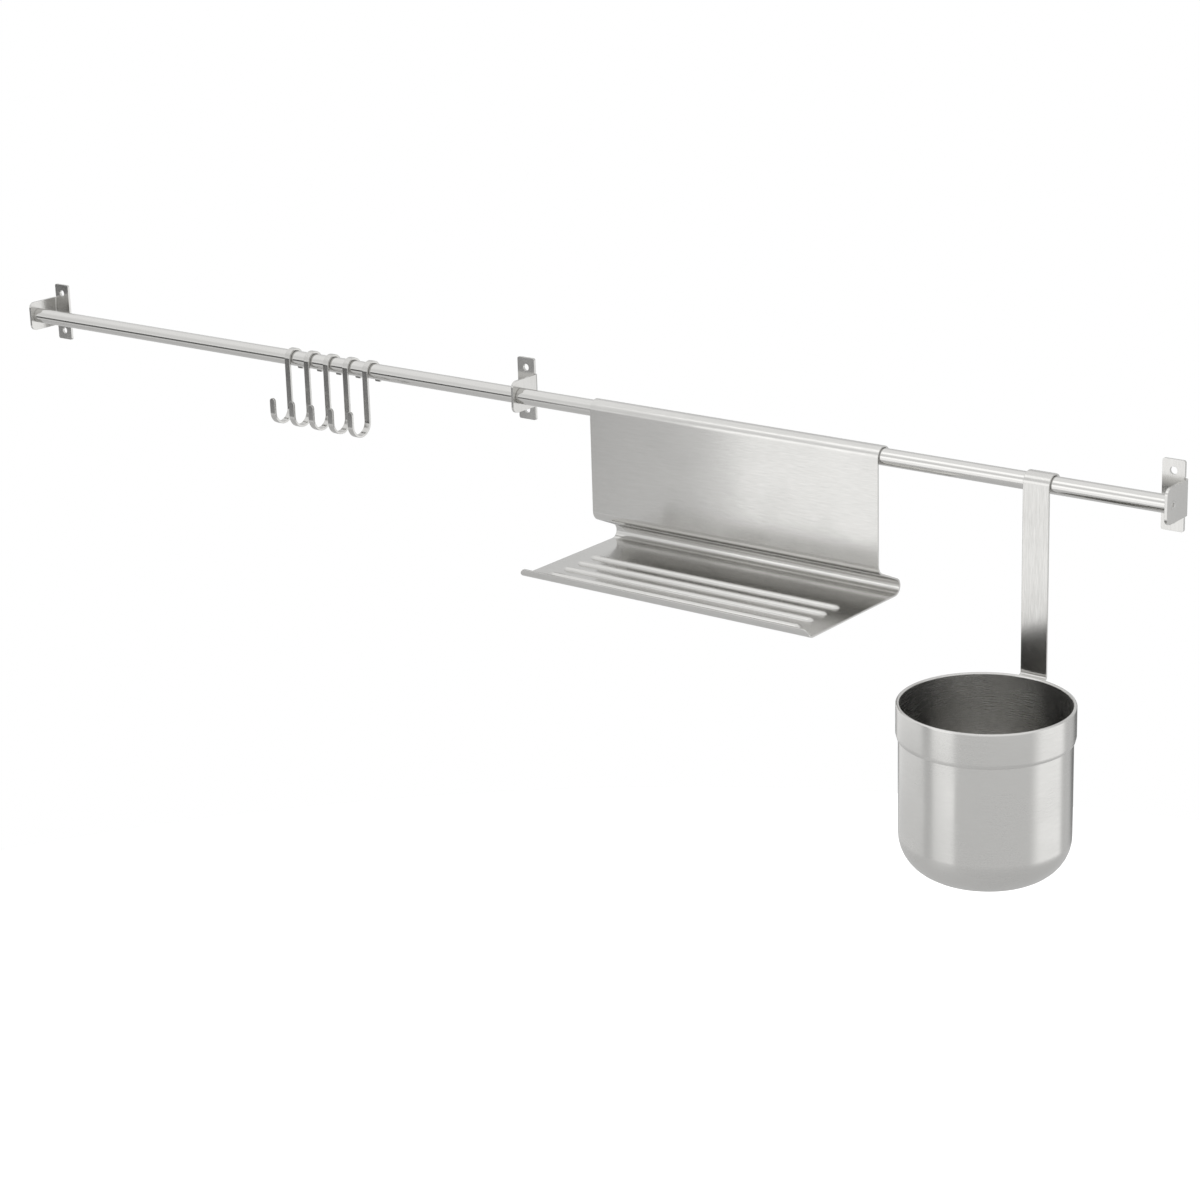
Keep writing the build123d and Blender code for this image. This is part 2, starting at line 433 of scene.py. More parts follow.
class StrapSettings(bpy.types.PropertyGroup):
    """Sizes of the cup's strap."""

    thickness: bpy.props.FloatProperty(
        name="Thickness",
        description="Thickness of the strap's flat bar",
        unit="LENGTH",
        default=1.5 * MM,
    )
    back_leg: bpy.props.FloatProperty(
        name="Back Leg",
        description="How far the saddle reaches down behind the tube's axis",
        unit="LENGTH",
        default=5 * MM,
    )
    ledge_drop: bpy.props.FloatProperty(
        name="Ledge Drop",
        description="Depth of the ledge over the tab under the tube's axis",
        unit="LENGTH",
        default=134.9 * MM,
    )
    jog: bpy.props.FloatProperty(
        name="Jog",
        description="How far the tab is set forwards",
        unit="LENGTH",
        default=3.3 * MM,
    )
    tab: bpy.props.FloatProperty(
        name="Tab",
        description="Length of the tab that is welded to the cup's collar",
        unit="LENGTH",
        default=18 * MM,
    )
    edge_round: bpy.props.FloatProperty(
        name="Edge Rounding",
        description="Radius on the bar's long edges",
        unit="LENGTH",
        default=0.3 * MM,
    )


class StudioSettings(bpy.types.PropertyGroup):
    """Camera, backdrop, floor, and the greys of the studio as the steel sees them."""

    camera_place: bpy.props.FloatVectorProperty(
        name="Camera",
        description="Place of the camera",
        subtype="TRANSLATION",
        unit="LENGTH",
        default=(1.3543, -1.6313, 0.5327),
    )
    yaw: bpy.props.FloatProperty(
        name="Yaw",
        description="Camera's turn to the left from straight at the wall",
        subtype="ANGLE",
        default=math.radians(38.257),
    )
    pitch: bpy.props.FloatProperty(
        name="Pitch",
        description="Camera's tilt, down when negative",
        subtype="ANGLE",
        default=math.radians(-16.022),
    )
    roll: bpy.props.FloatProperty(
        name="Roll",
        description="Camera's turn about its own line of sight",
        subtype="ANGLE",
        default=math.radians(1.719),
    )
    lens: bpy.props.FloatProperty(
        name="Lens", description="Focal length in millimetres", default=84.63
    )
    shift: bpy.props.FloatProperty(
        name="Shift",
        description="Rise of the picture against the lens",
        default=-0.1,
    )
    backdrop: bpy.props.FloatVectorProperty(
        name="Backdrop",
        description="Colour of the floor and of what lies behind the rail",
        subtype="COLOR",
        min=0,
        max=1,
        default=(1, 1, 1),
    )
    card: bpy.props.FloatProperty(
        name="Grey Card",
        description="Brightness of the dim low side of the studio, as the steel sees it",
        min=0,
        max=1,
        default=0.1,
    )
    low_grey: bpy.props.FloatProperty(
        name="Low Grey",
        description="Brightness of the studio below the rail's height, as the steel sees it",
        min=0,
        max=1,
        default=0.78,
    )
    floor_drop: bpy.props.FloatProperty(
        name="Floor",
        description="Depth of the floor under the rail",
        unit="LENGTH",
        default=1.4,
    )
    floor_radius: bpy.props.FloatProperty(
        name="Floor Radius", description="Radius of the round floor", unit="LENGTH", default=2.6
    )


SETTINGS = {
    "rail_finish": FinishSettings,
    "rail_screw": ScrewSettings,
    "rail_hook": HookSettings,
    "rail_stand": StandSettings,
    "rail_cup": CupSettings,
    "rail_strap": StrapSettings,
    "rail_studio": StudioSettings,
}


# Materials


class Nodes:
    """Adds nodes to one material or world and links them."""

    def __init__(self, tree):
        self.tree = tree

    def add(self, kind, links=None, **values):
        node = self.tree.nodes.new(kind)
        for name, value in values.items():
            setattr(node, name, value)
        for socket, source in (links or {}).items():
            if isinstance(source, bpy.types.NodeSocket):
                self.tree.links.new(source, node.inputs[socket])
            else:
                node.inputs[socket].default_value = source
        return node

    def math(self, operation, *sources, clamp=False):
        links = dict(enumerate(sources))
        return self.add("ShaderNodeMath", links, operation=operation, use_clamp=clamp).outputs[0]

    def vector(self, operation, *sources, output=0):
        links = dict(enumerate(sources))
        return self.add("ShaderNodeVectorMath", links, operation=operation).outputs[output]

    def spread(self, value, low, high, new_low, new_high, smooth=False):
        """Maps one range of a value onto another."""
        kind = "SMOOTHSTEP" if smooth else "LINEAR"
        links = {0: value, 1: low, 2: high, 3: new_low, 4: new_high}
        return self.add("ShaderNodeMapRange", links, interpolation_type=kind).outputs[0]

    def weigh(self, first, second, share):
        """Adds two values, the first by its share and the second by the rest."""
        part = self.math("MULTIPLY", first, share)
        rest = self.math("MULTIPLY", second, 1 - share)
        return self.math("ADD", part, rest)

    def mix_colour(self, share, first, second):
        links = {0: share, 6: first, 7: second}
        return self.add("ShaderNodeMix", links, data_type="RGBA").outputs[2]

    def noise(self, place, scale, detail, roughness=0.6):
        links = {"Vector": place, "Scale": scale, "Detail": detail, "Roughness": roughness}
        return self.add("ShaderNodeTexNoise", links).outputs["Fac"]


def straight_grain(nodes, place, along, pitch, length):
    """Squeezes a place across one axis, so that noise on it turns into grain along that axis."""
    scale = [1 / pitch] * 3
    scale["XYZ".index(along)] = 1 / length
    return nodes.vector("MULTIPLY", place, scale)


def turned_grain(nodes, place, axis_place, pitch, length):
    """Grain in rings about an upright axis, on the wall and on the bottom alike."""
    from_axis = nodes.vector("SUBTRACT", place, axis_place)
    flat = nodes.vector("MULTIPLY", from_axis, (1, 1, 0))
    radius = nodes.vector("LENGTH", flat, output=1)
    split = nodes.add("ShaderNodeSeparateXYZ", {0: from_axis})
    rings = nodes.math("ADD", split.outputs[2], radius)
    links = {
        0: nodes.math("DIVIDE", split.outputs[0], length),
        1: nodes.math("DIVIDE", split.outputs[1], length),
        2: nodes.math("DIVIDE", rings, pitch),
    }
    return nodes.add("ShaderNodeCombineXYZ", links).outputs[0]


def grain_direction(nodes, place, along, axis_place):
    """The direction in which the grain stretches a highlight, straight or in rings."""
    if axis_place is not None:
        from_axis = nodes.vector("SUBTRACT", place, axis_place)
        return nodes.vector("CROSS_PRODUCT", UP, from_axis)
    line = [0, 0, 0]
    line["XYZ".index(along)] = 1
    return nodes.add("ShaderNodeCombineXYZ", dict(enumerate(line))).outputs[0]


def worn_edges(nodes, radius):
    """The normal rounded over the edges, and how far a point is on an edge, from 0 to 1."""
    rounded = nodes.add("ShaderNodeBevel", {"Radius": radius}, samples=6).outputs[0]
    flat = nodes.add("ShaderNodeNewGeometry").outputs["Normal"]
    likeness = nodes.vector("DOT_PRODUCT", rounded, flat, output=1)
    return rounded, nodes.spread(likeness, *EDGE_LIKENESS, 0, 1)


def brushed_steel(name, along, roughness, contrast=1.0, stretch=0.6, axis_place=None, edge_scale=1.0):
    """Stainless steel with fine grain, longer streaks, faint clouds and polished edges."""
    finish = bpy.context.scene.rail_finish
    material = bpy.data.materials.new(name)
    material.use_nodes = True
    nodes = Nodes(material.node_tree)
    place = nodes.add("ShaderNodeTexCoord").outputs["Object"]

    def grain(wider, longer):
        pitch, length = wider * finish.grain_pitch, longer * finish.grain_length
        if axis_place is None:
            return straight_grain(nodes, place, along, pitch, length)
        return turned_grain(nodes, place, axis_place, pitch, length)

    fine = nodes.noise(grain(1, 1), scale=1, detail=3)
    streaks = nodes.noise(grain(STREAK_PITCH, STREAK_LENGTH), scale=1, detail=2)
    clouds = nodes.noise(place, scale=CLOUD_SCALE, detail=2, roughness=0.5)
    rounded, edge = worn_edges(nodes, finish.edge_radius * edge_scale)

    lines = nodes.weigh(fine, streaks, FINE_SHARE)
    depth = nodes.spread(lines, *GRAIN_DEPTH, 0, 1)
    tone = nodes.weigh(clouds, depth, CLOUD_SHARE)
    tone = nodes.math("ADD", tone, nodes.math("MULTIPLY", edge, EDGE_BRIGHTNESS), clamp=True)
    shade = [light + (dark - light) * contrast for light, dark in zip(finish.steel, finish.shade)]
    colour = nodes.mix_colour(tone, (*shade, 1), (*finish.steel, 1))

    rough, smooth = [share * roughness for share in WEAR_ROUGHNESS]
    worn = nodes.spread(nodes.math("ADD", fine, clouds), *WEAR, rough, smooth)
    worn = nodes.math("SUBTRACT", worn, nodes.math("MULTIPLY", edge, EDGE_POLISH * roughness))
    relief = {
        "Strength": GRAIN_STRENGTH * contrast,
        "Distance": GRAIN_RELIEF,
        "Height": lines,
        "Normal": rounded,
    }
    bump = nodes.add("ShaderNodeBump", relief).outputs[0]

    shader = material.node_tree.nodes["Principled BSDF"]
    links = material.node_tree.links
    links.new(colour, shader.inputs["Base Color"])
    links.new(worn, shader.inputs["Roughness"])
    links.new(bump, shader.inputs["Normal"])
    links.new(grain_direction(nodes, place, along, axis_place), shader.inputs["Tangent"])
    shader.inputs["Metallic"].default_value = 1
    shader.inputs["Anisotropic"].default_value = stretch
    shader.inputs["Anisotropic Rotation"].default_value = 0.25
    return material


def finish_node(node, material):
    """Gives a CAD node a finish in all its slots."""
    slots = frame["nodes"][node].material_slots
    if not slots:
        frame["nodes"][node].data.materials.append(material)
    for slot in slots:
        slot.material = material


# Modelling


def select_only(piece=None):
    """Deselects everything, then selects the piece, if one is given, and makes it active."""
    for other in bpy.context.view_layer.objects:
        other.select_set(False)
    bpy.context.view_layer.objects.active = piece
    if piece is not None:
        piece.select_set(True)


def open_primitive(name):
    """Names the primitive just added and opens it in edit mode, with all of it selected."""
    piece = bpy.context.object
    piece.name = piece.data.name = name
    select_only(piece)
    bpy.ops.object.transform_apply(location=True, rotation=True, scale=True)
    bpy.ops.object.mode_set(mode="EDIT")
    bpy.ops.mesh.select_mode(type="VERT")
    bpy.ops.mesh.select_all(action="SELECT")
    return piece


def side_point(x, out, up):
    """A point at X, so far out from the tube's axis towards the room, and so far above it."""
    return Vector((x, AXIS_Y - out, up))


def start_edge(name, start, width, columns=1):
    """A new piece in edit mode: a selected chain of edges along X, centred on its start."""
    select_only()
    bpy.ops.mesh.primitive_grid_add(
        x_subdivisions=columns, y_subdivisions=1, size=width, location=start
    )
    piece = open_primitive(name)
    select_where(piece, lambda co: co.y > start.y)
    bpy.ops.mesh.delete(type="VERT")
    bpy.ops.mesh.select_all(action="SELECT")
    bpy.ops.transform.translate(value=(0, width / 2, 0))
    return piece


def select_where(piece, test):
    """Selects the vertices that pass a test of their place."""
    mesh = bmesh.from_edit_mesh(piece.data)
    for vertex in mesh.verts:
        vertex.select = test(vertex.co)
    mesh.select_flush_mode()
    bmesh.update_edit_mesh(piece.data)


def extrude(move):
    """Extrudes what is selected and moves it."""
    bpy.ops.mesh.extrude_region_move(TRANSFORM_OT_translate={"value": move})


def fold(folds, point, heading, step):
    """Extrudes the selected chain along runs and bends. A pair is a bend's radius and angle."""
    for run in folds:
        if isinstance(run, tuple):
            radius, angle = run
            side = Vector((0, -heading.z, heading.y)) * (1 if angle > 0 else -1)
            centre = point + side * radius
            bpy.ops.mesh.spin(
                steps=max(3, math.ceil(abs(angle) / step)),
                angle=-angle,
                center=centre,
                axis=(1, 0, 0),
            )
            turn = Matrix.Rotation(angle, 3, "X")
            point = centre + turn @ (point - centre)
            heading = turn @ heading
        else:
            extrude(heading * run)
            point = point + heading * run
    return point, heading


def round_corners(piece, at, radius, width):
    """Rounds the two corners of a flat end."""
    select_where(piece, lambda co: abs((co - at).length - width / 2) < SAME_PLACE)
    bpy.ops.mesh.bevel(offset=radius, segments=6, affect="VERTICES", clamp_overlap=True)


def thicken(piece, thickness, edge_round):
    """Gives a sheet its thickness on both sides and rounds its edges."""
    bpy.ops.mesh.select_all(action="SELECT")
    bpy.ops.mesh.normals_make_consistent(inside=False)
    bpy.ops.object.mode_set(mode="OBJECT")
    wall = piece.modifiers.new("sheet", "SOLIDIFY")
    wall.thickness = thickness
    wall.offset = 0
    wall.use_even_offset = True
    bpy.ops.object.modifier_apply(modifier=wall.name)
    finish_edges(piece, edge_round)


def finish_edges(piece, edge_round):
    """Rounds the sharp edges and shades the piece smooth, with its flat faces flat."""
    bevel = piece.modifiers.new("edges", "BEVEL")
    bevel.width = edge_round
    bevel.segments = 3
    bevel.limit_method = "ANGLE"
    bevel.angle_limit = math.radians(50)
    bpy.ops.object.modifier_apply(modifier=bevel.name)
    bpy.ops.object.shade_smooth_by_angle(angle=math.radians(35))
    weighted = piece.modifiers.new("flat_faces", "WEIGHTED_NORMAL")
    weighted.keep_sharp = True
    bpy.ops.object.modifier_apply(modifier=weighted.name)


def model_screw(name, node, side, sizes):
    """A countersunk screw with a star socket. Its head faces right, or left at side -1."""
    low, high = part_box(node)
    centre = (low + high) / 2
    face = Vector((high.x if side > 0 else low.x, centre.y, centre.z))
    head = (high.z - low.z) / 2
    star = sizes.star / 2

    def on_star(co):
        return math.hypot(co.y - face.y, co.z - face.z) < (head + star) / 2

    def lobe_wave(co):
        return math.cos(LOBES * math.atan2(co.z - face.z, co.y - face.y))

    def scale_about_axis(factor):
        bpy.ops.transform.resize(value=(1, factor, factor), center_override=face)

    def push_in(depth):
        extrude((-side * depth, 0, 0))

    select_only()
    bpy.ops.mesh.primitive_circle_add(
        vertices=SCREW_SIDES,
        radius=head,
        fill_type="NGON",
        location=face,
        rotation=(0, side * math.pi / 2, 0),
    )
    piece = open_primitive(name)
    bpy.ops.mesh.select_mode(type="FACE")
    bpy.ops.mesh.select_all(action="SELECT")
    bpy.ops.mesh.inset(thickness=head - star)
    bpy.ops.mesh.select_mode(type="VERT")
    for level in LOBE_LEVELS:
        select_where(piece, lambda co: on_star(co) and lobe_wave(co) < level)
        scale_about_axis(LOBE_PULL)
    select_where(piece, on_star)
    push_in(sizes.star_depth)
    scale_about_axis(SOCKET_TAPER)

    select_where(piece, lambda co: not on_star(co))
    push_in(sizes.head_height)
    scale_about_axis(sizes.thread / 2 / head)
    push_in(high.x - low.x - sizes.head_height)
    bpy.ops.mesh.edge_face_add()
    bpy.ops.mesh.select_all(action="SELECT")
    bpy.ops.mesh.normals_make_consistent(inside=False)
    bpy.ops.object.mode_set(mode="OBJECT")
    finish_edges(piece, sizes.edge_round)
    return piece


def stands_for(piece, node, body, material):
    """Puts a finished piece in a CAD node's place."""
    piece.data.materials.clear()
    piece.data.materials.append(material)
    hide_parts(node)
    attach(piece, body)
    select_only()


def saddle_radius(sheet):
    """Radius of the middle of a strip or sheet that is bent over the tube."""
    return TUBE_RADIUS + SADDLE_CLEARANCE + sheet / 2


def model_hook(name, x, width, sizes):
    """Folds one hook from a flat bar, centred on X."""
    over = saddle_radius(sizes.thickness)
    bend = (sizes.bend_width - sizes.thickness) / 2
    low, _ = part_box(HOOKS[0])
    shank = -low.z - sizes.bend_width / 2
    start = side_point(x, -over, -sizes.back_leg)
    folds = [sizes.back_leg, (over, math.pi), shank, (bend, -math.pi), shank + sizes.tip_top]
    piece = start_edge(name, start, width)
    end, _ = fold(folds, start, UP, SMALL_BEND_STEP)
    round_corners(piece, end, TIP_ROUNDING * width, width)
    round_corners(piece, start, END_CORNER, width)
    thicken(piece, sizes.thickness, sizes.edge_round)
    return piece


# Operators


class RAIL_OT_tubes(bpy.types.Operator):
    """Finish the two tubes with grain that runs along them"""

    bl_idname = "rail.tubes"
    bl_label = "Tubes"

    def execute(self, context):
        steel = brushed_steel(
            "tube_steel_drawn", along="X", roughness=0.12, contrast=0.35, stretch=0.2
        )
        for node in ("rail_tube_left", "rail_tube_right"):
            finish_node(node, steel)
        return {"FINISHED"}


class RAIL_OT_brackets(bpy.types.Operator):
    """Finish the wall brackets and the plugs, and turn the two end screws"""

    bl_idname = "rail.brackets"
    bl_label = "Brackets and Screws"

    def execute(self, context):
        plate = brushed_steel(
            "bracket_steel_brushed",
            along="Z",
            roughness=0.2,
            contrast=0.5,
            stretch=0.3,
            edge_scale=0.5,
        )
        bright = brushed_steel(
            "screw_steel_turned", along="X", roughness=0.2, contrast=0.5, stretch=0.2
        )
        for node in frame["nodes"]:
            if node.startswith("bracket_"):
                finish_node(node, plate)
            elif "plug" in node or "stud" in node:
                finish_node(node, bright)
        for side, end in ((-1, "left"), (1, "right")):
            node = f"end_screw_{end}"
            screw = model_screw(f"star_screw_{end}", node, side, context.scene.rail_screw)
            stands_for(screw, node, "rail", bright)
        return {"FINISHED"}


class RAIL_OT_hooks(bpy.types.Operator):
    """Fold one flat hook and hang a copy at each place on the rail"""

    bl_idname = "rail.hooks"
    bl_label = "Hooks"

    def execute(self, context):
        steel = brushed_steel(
            "hook_steel_tumbled",
            along="Z",
            roughness=0.17,
            contrast=1.2,
            stretch=0.2,
            edge_scale=0.3,
        )
        low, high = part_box(HOOKS[0])
        first_x = (low.x + high.x) / 2
        first = model_hook("hook_bar_1", first_x, high.x - low.x, context.scene.rail_hook)
        pieces = [first]
        for index, node in enumerate(HOOKS[1:], start=2):
            low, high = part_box(node)
            piece = first.copy()
            piece.data = first.data.copy()
            piece.name = piece.data.name = f"hook_bar_{index}"
            context.scene.collection.objects.link(piece)
            piece.data.transform(Matrix.Translation(((low.x + high.x) / 2 - first_x, 0, 0)))
            pieces.append(piece)
        for piece, node in zip(pieces, HOOKS):
            stands_for(piece, node, node, steel)
        return {"FINISHED"}


class RAIL_OT_stand(bpy.types.Operator):
    """Fold the stand from one sheet and press the ribs into its shelf"""

    bl_idname = "rail.stand"
    bl_label = "Stand"

    def execute(self, context):
        sizes = context.scene.rail_stand
        low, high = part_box("shelf_stand")
        x, width = (low.x + high.x) / 2, high.x - low.x
        rib_half = width / 2 - sizes.rib_margin - sizes.rib_foot
        lip_reach = (sizes.lip_radius + sizes.sheet / 2) * math.sin(sizes.lip_angle)
        lip_reach += sizes.lip_straight * math.cos(sizes.lip_angle)
        shelf_front = low.y + lip_reach

        start = side_point(x, -saddle_radius(sizes.sheet), -sizes.back_leg)
        piece = start_edge("stand_sheet", start, width, sizes.columns)
        self.refine_columns(piece, x, rib_half, sizes.rib_foot)
        point, heading = fold(self.panel_folds(sizes, low, high), start, UP, BEND_STEP)
        point, heading = self.lay_shelf(sizes, point, heading, shelf_front)
        lip = [(sizes.lip_radius, -sizes.lip_angle), sizes.lip_straight]
        tip, _ = fold(lip, point, heading, BEND_STEP)
        for side in (-1, 1):
            corner = Vector((x + side * width / 2, tip.y, tip.z))
            self.trim_corner(piece, corner, side, sizes.lip_corner, shelf_front)
        round_corners(piece, start, END_CORNER, width)
        self.press_ribs(piece, sizes, Vector((x, 0, low.z + sizes.sheet / 2)), rib_half)
        thicken(piece, sizes.sheet, sizes.edge_round)

        steel = brushed_steel(
            "stand_steel_brushed", along="X", roughness=0.15, contrast=0.6, stretch=0.9
        )
        stands_for(piece, "shelf_stand", "stand", steel)
        return {"FINISHED"}

    def panel_folds(self, sizes, low, high):
        """Runs and bends from the saddle's back leg to the end of the turn at the wall."""
        slope, turn = sizes.ledge_slope, sizes.back_fold
        over = saddle_radius(sizes.sheet)
        shelf_up = low.z + sizes.sheet / 2
        fold_out = AXIS_Y - high.y + sizes.sheet / 2 + turn
        ledge_end_out = fold_out - turn * math.sin(slope)
        ledge_end_up = shelf_up + turn + turn * math.cos(slope)
        ledge_start_out = over - sizes.panel_bend * (1 - math.sin(slope))
        ledge = (ledge_start_out - ledge_end_out) / math.cos(slope)
        ledge_start_up = ledge_end_up + ledge * math.sin(slope)
        panel = -ledge_start_up - sizes.panel_bend * math.cos(slope)
        return [
            sizes.back_leg,
            (over, math.pi),
            panel,
            (sizes.panel_bend, math.pi / 2 - slope),
            ledge,
            (turn, slope - math.pi),
        ]

    def rib_out(self, sizes, rib):
        """How far a rib's middle is in front of the tube's axis."""
        return sizes.first_rib + rib * sizes.rib_pitch

    def lay_shelf(self, sizes, point, heading, shelf_front):
        """Extrudes the shelf forwards, with rows of its mesh where the ribs will rise."""
        across = [-row for row in reversed(RIB_ROWS)] + [0, *RIB_ROWS]
        stops = []
        for rib in range(sizes.rib_count):
            stops += [self.rib_out(sizes, rib) + row * sizes.rib_foot for row in across]
        stops.append(AXIS_Y - shelf_front)
        out = AXIS_Y - point.y
        for stop in stops:
            point, heading = fold([stop - out], point, heading, BEND_STEP)
            out = stop
        return point, heading

    def refine_columns(self, piece, x, half, foot):
        """Sets columns close together where the ribs run out, with one where they start to."""
        first, last = half - REFINE_INSIDE * foot, half + REFINE_OUTSIDE * foot
        for side in (-1, 1):
            for reach in (first, half, last):
                bpy.ops.mesh.select_all(action="SELECT")
                bpy.ops.mesh.bisect(plane_co=(x + side * reach, 0, 0), plane_no=(1, 0, 0))
            select_where(
                piece,
                lambda co: half - SAME_PLACE < side * (co.x - x) < last + SAME_PLACE,
            )
            bpy.ops.mesh.subdivide(number_cuts=3)
        bpy.ops.mesh.select_all(action="SELECT")

    def trim_corner(self, piece, corner, side, radius, shelf_front):
        """Trims a corner of the lip to a quarter circle, seen from the front."""
        centre = corner - Vector((side * radius, 0, radius))
        cuts = 7
        for cut in range(1, cuts):
            angle = math.pi / 2 * cut / cuts
            outward = Vector((side * math.cos(angle), 0, math.sin(angle)))
            select_where(
                piece,
                lambda co: co.y < shelf_front and (co.x - corner.x) * side > -2 * radius,
            )
            bpy.ops.mesh.bisect(
                plane_co=centre + outward * radius, plane_no=outward, clear_outer=True
            )

    def press_ribs(self, piece, sizes, shelf, half):
        """Raises the ribs from the shelf, each of them with a round section and round ends."""
        for rib in range(sizes.rib_count):
            rib_y = AXIS_Y - self.rib_out(sizes, rib)
            select_where(
                piece,
                lambda co: abs(co.z - shelf.z) < SAME_PLACE
                and abs(co.y - rib_y) < SAME_PLACE
                and abs(co.x - shelf.x) < half + SAME_PLACE,
            )
            bpy.ops.transform.translate(
                value=(0, 0, sizes.rib_height),
                use_proportional_edit=True,
                proportional_edit_falloff="SPHERE",
                proportional_size=sizes.rib_foot,
            )


class RAIL_OT_cup(bpy.types.Operator):
    """Spin the cup with its folded rim, and fold its strap"""

    bl_idname = "rail.cup"
    bl_label = "Cup and Strap"

    def execute(self, context):
        self.spin_cup(context.scene.rail_cup)
        self.fold_strap(context.scene.rail_strap)
        return {"FINISHED"}

    def spin_cup(self, sizes):
        """Folds the cup's section from the middle of its floor to the collar, and spins it."""
        low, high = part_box("utensil_cup")
        centre = (low + high) / 2
        sheet = sizes.sheet
        wall = sizes.inside_radius + sheet / 2
        collar = (high.x - low.x) / 2 - sheet / 2
        rim = (collar - wall) / 2
        turn = sizes.bottom_radius + sheet / 2
        floor_z = low.z + sheet / 2
        rim_z = high.z - rim - sheet / 2
        start = Vector((centre.x, centre.y, floor_z))
        folds = [
            wall - turn,
            (turn, -math.pi / 2),
            rim_z - floor_z - turn,
            (rim, math.pi),
            rim_z - (high.z - sizes.collar + sizes.slant),
        ]

        select_only()
        bpy.ops.mesh.primitive_plane_add(size=MM, location=start)
        piece = open_primitive("cup_shell")
        bpy.ops.mesh.merge(type="COLLAPSE")
        fold(folds, start, FORWARD, SMALL_BEND_STEP)
        inward = wall + sheet + sizes.collar_gap - collar
        extrude((0, -inward, -sizes.slant))
        bpy.ops.mesh.select_all(action="SELECT")
        bpy.ops.mesh.spin(steps=sizes.steps, angle=2 * math.pi, center=centre, axis=UP)
        bpy.ops.mesh.select_all(action="SELECT")
        bpy.ops.mesh.remove_doubles(threshold=SAME_PLACE)
        thicken(piece, sheet, sizes.edge_round)

        steel = brushed_steel(
            "cup_steel_turned",
            along="Z",
            roughness=0.24,
            contrast=0.3,
            stretch=0.7,
            axis_place=centre,
        )
        stands_for(piece, "utensil_cup", "cup", steel)

    def fold_strap(self, sizes):
        """Folds the strap over the tube, down to its ledge and on into the tab on the cup."""
        low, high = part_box("cup_strap")
        x, width = (low.x + high.x) / 2, high.x - low.x
        over = saddle_radius(sizes.thickness)
        jog = sizes.jog / 2
        drop = sizes.ledge_drop + sizes.thickness / 2 - jog
        start = side_point(x, -over, -sizes.back_leg)
        folds = [
            sizes.back_leg,
            (over, math.pi),
            drop,
            (jog, -math.pi / 2),
            (jog, math.pi / 2),
            sizes.tab,
        ]
        piece = start_edge("strap_bar", start, width)
        end, _ = fold(folds, start, UP, BEND_STEP)
        round_corners(piece, start, END_CORNER, width)
        round_corners(piece, end, END_CORNER, width)
        thicken(piece, sizes.thickness, sizes.edge_round)
        steel = brushed_steel(
            "strap_steel_brushed", along="Z", roughness=0.2, contrast=0.9, stretch=0.3
        )
        stands_for(piece, "cup_strap", "cup", steel)


